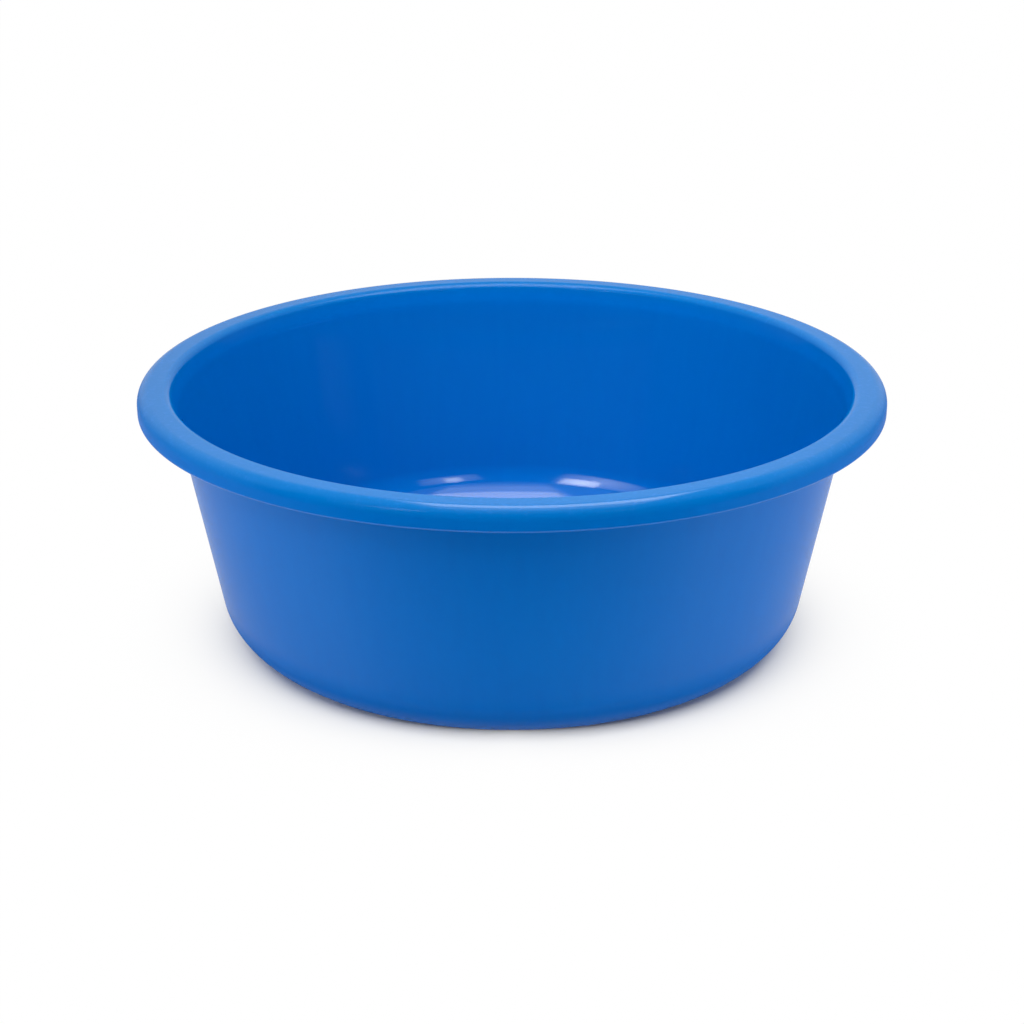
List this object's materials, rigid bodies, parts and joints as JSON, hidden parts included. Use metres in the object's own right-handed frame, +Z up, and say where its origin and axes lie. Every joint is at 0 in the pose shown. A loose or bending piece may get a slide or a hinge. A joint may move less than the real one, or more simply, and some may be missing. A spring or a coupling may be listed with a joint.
{
  "type": "plastic basin",
  "caption": "Round open basin, moulded in one piece, with sloping wall, rounded heel, foot ring and a turned-down rim to carry it by.",
  "frame": {"origin": "centre of the foot ring, on the surface that the basin stands on", "axes": "+Z up through the mouth; the basin is round about Z, so X and Y may point anywhere"},
  "size_m": [0.36, 0.36, 0.1291],
  "materials": {
    "basin_plastic": "semi-gloss moulded polypropylene, solid blue"
  },
  "bodies": {
    "root": {"basin": "basin_plastic"}
  },
  "joints": []
}
